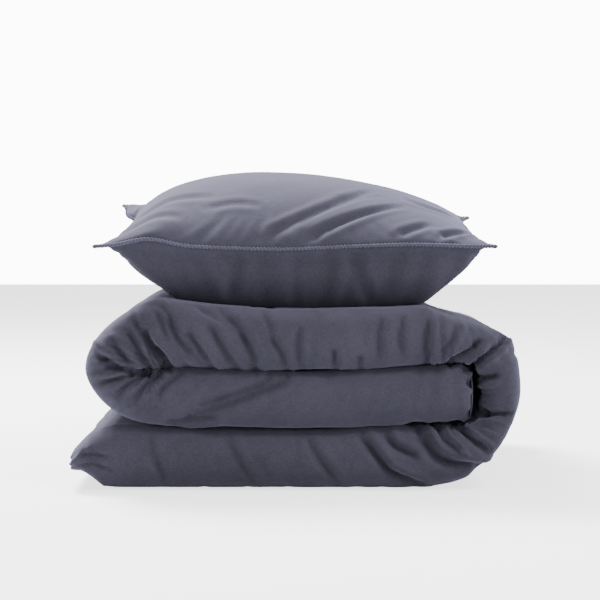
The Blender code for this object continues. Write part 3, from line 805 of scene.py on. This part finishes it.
CASE_PULLS = {  # lines (u, v) over each panel, depth and width in millimetres
    1: [([(-0.16, -0.96), (0.14, -0.72), (0.52, -0.36)], 4, 9),
        ([(0.06, -0.97), (0.32, -0.78), (0.62, -0.52)], 6, 8),
        ([(0.22, -0.60), (0.36, -0.44), (0.46, -0.26)], 3, 9),
        ([(0.52, -0.95), (0.64, -0.86), (0.74, -0.76)], 4, 8),
        ([(0.74, -0.94), (0.86, -0.82), (0.95, -0.70)], 5, 8),
        ([(0.90, -0.30), (0.74, -0.36), (0.60, -0.30)], 3, 10),
        ([(-0.95, -0.84), (-0.80, -0.78), (-0.60, -0.80)], 3, 9),
        ([(-0.92, -0.58), (-0.72, -0.52), (-0.46, -0.54)], 3, 10),
        ([(-0.50, -0.70), (-0.34, -0.66), (-0.18, -0.68)], 2, 8),
        ([(-0.93, 0.84), (-0.80, 0.58), (-0.72, 0.26)], 8, 15),
        ([(-0.90, 0.95), (-0.72, 0.84), (-0.56, 0.62)], 5, 13),
        ([(0.90, 0.94), (0.76, 0.76), (0.58, 0.60)], 5, 15)],
    -1: [([(0.96, -0.88), (0.84, -0.93), (0.70, -0.80)], 5, 12),
         ([(-0.92, -0.90), (-0.78, -0.86), (-0.66, -0.74)], 5, 12),
         ([(0.30, -0.98), (0.36, -0.90), (0.44, -0.80)], 3, 10),
         ([(-0.30, -0.98), (-0.34, -0.90), (-0.42, -0.80)], 3, 10)]}


def case_pulls(side):
    """How far each point of a panel is pushed in by its creases and by the gathers at its seam."""
    u, v = panel_grid()
    flat = np.stack([u * PILLOW_WIDTH / 2, v * PILLOW_DEPTH / 2], -1).reshape(-1, 2)
    pushed = np.zeros(len(flat))
    shape = case_place(u, v, side).reshape(-1, 3)
    for line, depth, width in CASE_PULLS[side]:
        line = resample(case_place(*smooth_line(line).T, side), 32)
        away = np.linalg.norm(shape[:, None] - line[None], axis=2)
        nearest = away.argmin(1)
        far = away[np.arange(len(flat)), nearest] / (width / 1000)
        along = nearest / 31
        fade = np.clip(8 * along, 0.3, 1) * np.clip(3 * (1 - along), 0, 1)
        pushed += depth / 1000 * fade * (np.exp(-far ** 1.5) - 0.4 * np.exp(-(far - 1.9) ** 2))
    to_rim = np.minimum(PILLOW_WIDTH / 2 * (1 - np.abs(u)),
                        PILLOW_DEPTH / 2 * (1 - np.abs(v))).ravel()
    angle = np.arctan2(flat[:, 1] / PILLOW_DEPTH, flat[:, 0] / PILLOW_WIDTH)
    along_rim = angle * 0.35
    streak = unevenness(np.stack([along_rim, 0.1 * to_rim, 0 * angle], 1), 0.020, 31 + side)
    reach = 0.030 if side > 0 else 0.055
    gather = (to_rim / 0.008).clip(0, 1) * np.exp(-(to_rim / reach) ** 2)
    pushed += (0.0012 if side > 0 else 0.0024) * streak * gather
    if side < 0:
        pushed += 0.003 * np.exp(-((to_rim - 0.008) / 0.005) ** 2)
    return pushed * (to_rim / 0.005).clip(0, 1)


def settle_pillow():
    """Both panels of the case, cut flat and square, sewn together and filled."""
    sides = [case_place(*panel_grid(), side) for side in (1, -1)]
    rows, columns = sides[0].shape[:2]
    count = rows * columns
    faces = grid_faces(rows, columns, ring=False)
    normals = np.concatenate([grid_normals(sides[0], faces), -grid_normals(sides[1], faces)])
    base = np.concatenate([side.reshape(-1, 3) for side in sides])
    base -= normals * np.concatenate([case_pulls(1), case_pulls(-1)])[:, None]
    links = []
    for kind, a, b in link_sets(rows, columns, ring=False):
        for first in (0, count):
            length = np.linalg.norm(base[b + first] - base[a + first], axis=1)
            links.append((kind, a + first, b + first, CASE_SLACK * length))
    ids = np.arange(count).reshape(rows, columns)
    rim = np.unique(np.concatenate([ids[0], ids[-1], ids[:, 0], ids[:, -1]]))
    low = SEAM_Z - DROP
    room_out = np.full(len(base), CASE_OUT)
    clear = base[count:, 2] - low + pressed_in(base[count:, 0], base[count:, 1])
    room_out[count:] = np.clip(clear / np.maximum(-normals[count:, 2], 0.1), 0, CASE_OUT)
    room_in = np.full(len(base), CASE_IN)
    near_rim = np.minimum(np.minimum(ids // columns, rows - 1 - ids // columns),
                          np.minimum(ids % columns, columns - 1 - ids % columns)).ravel()
    ease = np.clip(np.tile(near_rim, 2) / 4, 0, 1)
    room_out *= ease
    room_in *= ease
    hold = np.full(len(base), 0.01)
    start = normals * (0.0015 * unevenness(base, 0.05, 5) * ease)[:, None]
    settled = settle(base, links, normals, room_out, room_in, hold, CASE_STEPS, start,
                     [(rim, rim + count)], PUFF)
    return settled[:count].reshape(rows, columns, 3), settled[count:].reshape(rows, columns, 3)


pillow_top, pillow_base = settle_pillow()
case_panels = []
for side, name, shape in ((1, "pillowcase_top", pillow_top), (-1, "pillowcase_base", pillow_base)):
    faces = grid_faces(*shape.shape[:2], ring=False)
    panel = mesh_object(name + "_cloth", shape, faces if side > 0 else faces[:, ::-1])
    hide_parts(name)
    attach(panel, "pillow")
    case_panels.append(panel)

# %% The insert and the tuck flap inside the case
def round_the_rim(grid):
    """The outermost points of a grid, in order and once each."""
    return np.concatenate([grid[0, :-1], grid[:-1, -1], grid[-1, :0:-1], grid[:0:-1, 0]])


def shrink(shape, side, depth):
    """The panel again, this much inside itself."""
    faces = grid_faces(*shape.shape[:2], ring=False)
    inward = -side * grid_normals(shape, faces)
    return shape + inward.reshape(shape.shape) * depth


def pillow_insert():
    """The filled pillow in its own ticking, just inside the case."""
    inside = np.s_[5:-5:2, 8:-8:2]
    middle = (pillow_top[inside] + pillow_base[inside]) / 2
    half = (pillow_top[inside] - pillow_base[inside]) / 2
    thickness = np.linalg.norm(half, axis=-1, keepdims=True)
    half *= np.clip(1 - 0.012 / thickness, 0.15, 1)
    top, base = ((middle + way * half) * [0.965, 0.950, 1] for way in (1, -1))
    for edge in (np.s_[0], np.s_[-1], np.s_[:, 0], np.s_[:, -1]):
        top[edge] = base[edge] = middle[edge]
    faces = grid_faces(*top.shape[:2], ring=False)
    points = np.concatenate([top.reshape(-1, 3), base.reshape(-1, 3)])
    both = np.concatenate([faces, faces[:, ::-1] + top[..., 0].size])
    insert = mesh_object("pillow_insert", points, both)
    weld(insert, 1e-6)
    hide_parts("pillow_casing_top", "pillow_casing_base", "pillow_filling")
    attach(insert, "pillow")
    return insert


def tuck_flap():
    """The flap of the case that is folded in over the insert's end."""
    flap_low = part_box("pillowcase_tuck_flap")[0]
    inside = shrink(pillow_top, 1, 0.002)
    across = inside[inside.shape[0] // 2, :, 0]
    first = int(np.argmin(np.abs(across - flap_low[0])))
    cut = inside[4:-4, first:-3]
    thick = np.stack([cut, shrink(cut, 1, 0.0008)])
    flap = mesh_object("pillowcase_tuck_flap_cloth", thick, shell_faces(*cut.shape[:2]))
    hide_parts("pillowcase_tuck_flap")
    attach(flap, "pillow")
    return flap


def shell_faces(rows, columns):
    """Faces of a thin shell: an outer grid, an inner one and the edge between them."""
    count = rows * columns
    faces = grid_faces(rows, columns, ring=False)
    ids = np.arange(count).reshape(rows, columns)
    rim = round_the_rim(ids)
    after = np.roll(rim, -1)
    edge = np.stack([rim, rim + count, after + count, after], 1)
    return np.concatenate([faces, faces[:, ::-1] + count, edge])


insert = pillow_insert()
flap = tuck_flap()
print("insert and flap made")

# %% [markdown]
# ## The whip-stitched edge
#
# A thick thread is wound over the case's seam all the way round, so the edge looks like a thin
# rope. Each turn of the thread is a slanted ridge. A tube along the rim, whose surface rises and
# falls as the thread winds round it, gives the same look with few faces.


# %% The edge stitch
def rope_along(path, radius, ridge, pitch, sides=10, step=0.0011):
    """A closed rope along a closed path, with the ridges of a wound thread."""
    closed = np.concatenate([path, path[:1]])
    length = lengths_along(closed)[-1]
    count = int(length / step)
    marks = np.linspace(0, length, count, endpoint=False)
    centre = points_at(closed, marks)
    ahead = np.roll(centre, -2, 0) - np.roll(centre, 2, 0)
    ahead /= np.linalg.norm(ahead, axis=1)[:, None]
    side = np.cross(ahead, [0, 0, 1])
    side /= np.linalg.norm(side, axis=1)[:, None]
    up = np.cross(side, ahead)
    turns = round(length / pitch)
    angle = np.linspace(0, 2 * np.pi, sides, endpoint=False)
    wound = angle[None] + 2 * np.pi * turns * (marks / length)[:, None]
    size = radius + ridge * np.abs(np.cos(wound / 2)) ** 2
    points = centre[:, None] + size[..., None] * (
        np.cos(angle)[None, :, None] * side[:, None] + np.sin(angle)[None, :, None] * up[:, None])
    ids = np.arange(count * sides).reshape(count, sides)
    after, beside = np.roll(ids, -1, 0), np.roll(ids, -1, 1)
    faces = np.stack([ids, beside, np.roll(after, -1, 1), after], -1).reshape(-1, 4)
    return points, faces


STITCH_RADIUS = 0.0021
STITCH_RIDGE = 0.0016
STITCH_PITCH = 0.0060
STITCH_LIFT = 0.0008
rope_points, rope_faces = rope_along(round_the_rim(pillow_top) + [0, 0, STITCH_LIFT],
                                     STITCH_RADIUS, STITCH_RIDGE, STITCH_PITCH)
edge_stitch = mesh_object("pillowcase_rope_stitch", rope_points, rope_faces)
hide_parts("pillowcase_edge_stitch")
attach(edge_stitch, "pillow")
print(f"{len(rope_faces)} faces on the edge stitch")

# %% [markdown]
# ## Finishes
#
# All the cloth here is matt and a little uneven. Two shader groups do most of the work: one
# weaves, with crossing threads that vary in thickness, and one washes, which lightens and
# darkens the dye in soft patches. The creases are painted with shade, a little darker than
# the cloth between them.


# %% The shader groups
def new_group(name, inputs, outputs):
    group = bpy.data.node_groups.new(name, "ShaderNodeTree")
    for label, kind, value in inputs:
        socket = group.interface.new_socket(label, in_out="INPUT", socket_type=kind)
        if value is not None:
            socket.default_value = value
    for label, kind in outputs:
        group.interface.new_socket(label, in_out="OUTPUT", socket_type=kind)
    return group, group.nodes.new("NodeGroupInput"), group.nodes.new("NodeGroupOutput")


def add_node(tree, kind, **settings):
    """Adds a node. Names that it has as properties are set, and the rest are sockets."""
    node = tree.nodes.new(kind)
    for label, value in settings.items():
        if hasattr(node, label):
            setattr(node, label, value)
        else:
            node.inputs[label.replace("_", " ")].default_value = value
    return node


def feed(tree, socket, value):
    """Sets a socket to a number, or links it to another node's output."""
    if isinstance(value, (int, float)):
        socket.default_value = value
    else:
        tree.links.new(value, socket)


def maths(tree, operation, *values):
    """A maths node's output, from numbers and other outputs."""
    node = add_node(tree, "ShaderNodeMath", operation=operation)
    for socket, value in zip(node.inputs, values):
        feed(tree, socket, value)
    return node.outputs[0]


def stretched_noise(tree, place, scale, size, detail=2.0):
    """Noise at this size, drawn out along the axes where scale is small."""
    mapping = add_node(tree, "ShaderNodeMapping", Scale=scale)
    tree.links.new(place, mapping.inputs["Vector"])
    noise = add_node(tree, "ShaderNodeTexNoise", Detail=detail)
    tree.links.new(mapping.outputs[0], noise.inputs["Vector"])
    feed(tree, noise.inputs["Scale"], size)
    return noise.outputs[0]


def weave_group():
    """Crossing threads: a height for the bump and a light and dark fleck for the colour."""
    group, given, result = new_group(
        "crossing threads",
        [("Threads", "NodeSocketFloat", 900.0), ("Slub", "NodeSocketFloat", 0.5)],
        [("Height", "NodeSocketFloat"), ("Fleck", "NodeSocketFloat")])
    place = add_node(group, "ShaderNodeTexCoord").outputs["Object"]
    lengthways = stretched_noise(group, place, (0.12, 0.5, 1), given.outputs["Threads"])
    crossways = stretched_noise(group, place, (1, 0.5, 0.12), given.outputs["Threads"])
    threads = maths(group, "ADD", lengthways, crossways)
    slub = stretched_noise(group, place, (0.3, 0.6, 1), 160)
    slub = maths(group, "MULTIPLY", slub, given.outputs["Slub"])
    group.links.new(maths(group, "ADD", threads, slub), result.inputs["Height"])
    fleck = maths(group, "SUBTRACT", threads, 1.0)
    group.links.new(maths(group, "MULTIPLY_ADD", fleck, 0.7, 0.5), result.inputs["Fleck"])
    return group


def washed_dye_and_crease_shade_group():
    """A dye that has faded unevenly, with painted shade that darkens the creases."""
    group, given, result = new_group(
        "washed dye and crease shade",
        [("Dye", "NodeSocketColor", (0.1, 0.1, 0.13, 1)),
         ("Faded", "NodeSocketColor", (0.2, 0.2, 0.25, 1)),
         ("Patchiness", "NodeSocketFloat", 0.5), ("Fleck", "NodeSocketFloat", 0.5),
         ("Painted crease shade", "NodeSocketFloat", 0.0)],
        [("Color", "NodeSocketColor"), ("Wear and crease shade", "NodeSocketFloat")])
    place = add_node(group, "ShaderNodeTexCoord").outputs["Object"]
    broad = stretched_noise(group, place, (1, 1, 1), 9, 4)
    fine = stretched_noise(group, place, (1, 1, 1), 70, 4)
    patch = maths(group, "MULTIPLY_ADD", fine, 0.5, broad)
    patch = maths(group, "SUBTRACT", patch, 0.75)
    wear_and_crease_shade = maths(group, "MULTIPLY", patch, given.outputs["Patchiness"])
    fleck = maths(group, "SUBTRACT", given.outputs["Fleck"], 0.5)
    wear_and_crease_shade = maths(group, "ADD", wear_and_crease_shade, fleck)
    # Painted shade: the colour is darkened in the creases, where shade falls in them.
    crease = maths(group, "MULTIPLY", given.outputs["Painted crease shade"], -0.75)
    wear_and_crease_shade = maths(group, "ADD", maths(group, "ADD", wear_and_crease_shade, 0.35), crease)
    wear_and_crease_shade = maths(group, "MINIMUM", maths(group, "MAXIMUM", wear_and_crease_shade, 0.0), 1.0)
    mix = add_node(group, "ShaderNodeMix", data_type="RGBA")
    group.links.new(wear_and_crease_shade, mix.inputs["Factor"])
    group.links.new(given.outputs["Dye"], mix.inputs[6])
    group.links.new(given.outputs["Faded"], mix.inputs[7])
    group.links.new(mix.outputs[2], result.inputs["Color"])
    group.links.new(wear_and_crease_shade, result.inputs["Wear and crease shade"])
    return group


THREADS, WASH_AND_CREASE_SHADE = weave_group(), washed_dye_and_crease_shade_group()


# %% The finishes
def new_material(name, **values):
    """A material with its shader's inputs set to these values, its tree and its shader."""
    made = bpy.data.materials.new(name)
    made.use_nodes = True
    shader = made.node_tree.nodes["Principled BSDF"]
    for label, value in values.items():
        shader.inputs[label.replace("_", " ")].default_value = value
    return made, made.node_tree, shader


def washed(tree, shader, dye, faded, patchiness):
    """The node of the dye group, which can also paint shade into creases, linked to the shader's
    colour.
    """
    dye_and_crease_shade = add_node(tree, "ShaderNodeGroup", node_tree=WASH_AND_CREASE_SHADE, Dye=(*dye, 1), Faded=(*faded, 1),
                    Patchiness=patchiness)
    tree.links.new(dye_and_crease_shade.outputs["Color"], shader.inputs["Base Color"])
    return dye_and_crease_shade


def bumped(tree, shader, height, strength, distance):
    """Lets a height show as relief in the shader's normals."""
    bump = add_node(tree, "ShaderNodeBump", Strength=strength, Distance=distance)
    tree.links.new(height, bump.inputs["Height"])
    tree.links.new(bump.outputs[0], shader.inputs["Normal"])


def cloth(name, dye, faded, threads=1300, bump=0.25, sheen=0.3):
    """Matt woven cloth, with its faded dye, painted shade in its creases and a soft sheen."""
    made, tree, shader = new_material(
        name, Roughness=0.9, Specular_IOR_Level=0.25, Sheen_Weight=sheen, Sheen_Roughness=0.5,
        Sheen_Tint=(0.74, 0.71, 1.0, 1))
    weave = add_node(tree, "ShaderNodeGroup", node_tree=THREADS, Threads=threads)
    dye_and_crease_shade = washed(tree, shader, dye, faded, 0.5)
    # The crease attribute is painted shade: it darkens the colour in the creases.
    crease = add_node(tree, "ShaderNodeAttribute", attribute_name="crease")
    tree.links.new(weave.outputs["Fleck"], dye_and_crease_shade.inputs["Fleck"])
    tree.links.new(crease.outputs["Fac"], dye_and_crease_shade.inputs["Painted crease shade"])
    bumped(tree, shader, weave.outputs["Height"], bump, 0.0008)
    return made


def moulded(name, dark, light, metallic, roughness, scale):
    """Nylon or metal, with fine marks that vary its colour and its gloss."""
    made, tree, shader = new_material(name, Metallic=metallic)
    dye_and_crease_shade = washed(tree, shader, dark, light, 0.8)
    rough = maths(tree, "MULTIPLY_ADD", dye_and_crease_shade.outputs["Wear and crease shade"], 0.25, roughness - 0.1)
    tree.links.new(rough, shader.inputs["Roughness"])
    place = add_node(tree, "ShaderNodeTexCoord").outputs["Object"]
    bumped(tree, shader, stretched_noise(tree, place, (1, 0.1, 1), scale), 0.15, 0.0002)
    return made


FINISHES = {
    "washed_cotton": cloth("washed_cotton", (0.026, 0.0243, 0.0355), (0.066, 0.0625, 0.089),
                           sheen=0.22),
    "white_ticking": cloth("white_ticking", (0.66, 0.65, 0.62), (0.80, 0.79, 0.77),
                           threads=1400, sheen=0.1),
    "pale_thread": cloth("pale_thread", (0.048, 0.046, 0.066), (0.115, 0.111, 0.155),
                         threads=2200, bump=0.4),
    "zip_tape_weave": cloth("zip_tape_weave", (0.022, 0.022, 0.030), (0.052, 0.052, 0.068),
                            threads=2600),
    "zip_nylon": moulded("zip_nylon", (0.03, 0.03, 0.04), (0.06, 0.06, 0.075), 0.0, 0.42, 900),
    "zip_metal": moulded("zip_metal", (0.38, 0.37, 0.36), (0.56, 0.55, 0.54), 1.0, 0.36, 1400),
}
print(len(FINISHES), "finishes")

# %% Put each finish on its pieces
NODE_SLOTS = {"cover_corner_tie": "zip_tape_weave", "duvet_corner_loop": "zip_tape_weave",
              "zip_tape": "zip_tape_weave", "zip_teeth": "zip_nylon", "zip_stop": "zip_metal",
              "zip_slider": "zip_metal", "zip_pull_tab": "zip_metal"}
for name, node in frame["nodes"].items():
    for start, finish in NODE_SLOTS.items():
        if name.startswith(start):
            node.data.materials.clear()
            node.data.materials.append(FINISHES[finish])
for piece in (cover, *case_panels, flap):
    piece.data.materials.append(FINISHES["washed_cotton"])
for piece in laid_again:
    piece.data.materials.clear()
    piece.data.materials.append(FINISHES["zip_tape_weave"])
insert.data.materials.append(FINISHES["white_ticking"])
edge_stitch.data.materials.append(FINISHES["pale_thread"])

# %% [markdown]
# ## The studio
#
# The floor and the wall are white. A large lamp above and behind does most of the lighting, and
# two weaker ones fill in from the front and the right. A long lens looks from straight in front.

# %% Floor, light and camera
FLOOR_SEEN = 2.0
WALL_SEEN = 11.0
WALL_LIGHT = 0.88
LAMPS = [  # name, place, watts, size
    ("above and behind", (-1.1, 1.3, 2.5), 315, 1.2),
    ("high in front", (1.5, -1.3, 2.5), 56, 0.7),
    ("low at the right", (3.2, -1.0, 0.5), 30, 1.5)]


def aim(made, place, target):
    """Puts a lamp or a camera in the scene at place, pointed at target."""
    made.location = place
    made.rotation_euler = (Vector(target) - Vector(place)).to_track_quat("-Z", "Y").to_euler()
    bpy.context.scene.collection.objects.link(made)


def studio():
    floor = mesh_object("floor", np.array([[-6, -6, 0], [6, -6, 0], [6, 6, 0], [-6, 6, 0]], float),
                        np.array([[0, 1, 2, 3]]))
    floor.location.z = -0.001
    matt, tree, shader = new_material("studio_floor", Base_Color=(0.88, 0.88, 0.88, 1),
                                      Roughness=0.8, Emission_Color=(1, 1, 1, 1))
    # The camera sees the floor a little brighter than the light that falls on it
    seen = add_node(tree, "ShaderNodeLightPath").outputs["Is Camera Ray"]
    tree.links.new(maths(tree, "MULTIPLY", seen, FLOOR_SEEN), shader.inputs["Emission Strength"])
    floor.data.materials.append(matt)
    world = bpy.data.worlds.new("studio")
    world.use_nodes = True
    tree = world.node_tree
    background = tree.nodes["Background"]
    background.inputs["Color"].default_value = (1, 1, 1, 1)
    # The camera sees a brighter wall than the one that lights the object
    seen = add_node(tree, "ShaderNodeLightPath").outputs["Is Camera Ray"]
    tree.links.new(maths(tree, "MULTIPLY_ADD", seen, WALL_SEEN, WALL_LIGHT),
                   background.inputs["Strength"])
    bpy.context.scene.world = world
    for name, place, power, size in LAMPS:
        lamp = bpy.data.lights.new(name, "AREA")
        lamp.energy, lamp.size = power, size
        lamp.color = (0.93, 0.93, 1.0)
        aim(bpy.data.objects.new(name, lamp), place, (0, 0, 0.3))


def look_from(distance, elevation, target, lens):
    """A camera straight in front, this far off and this many degrees up."""
    camera = bpy.data.cameras.new("camera")
    camera.lens = lens
    camera.sensor_width = 36
    made = bpy.data.objects.new("camera", camera)
    lift = math.radians(elevation)
    aim(made, Vector(target) + Vector((0, -math.cos(lift), math.sin(lift))) * distance, target)
    bpy.context.scene.camera = made


studio()
look_from(2.95, 3.6, (0.008, 0.0, 0.292), 99.9)
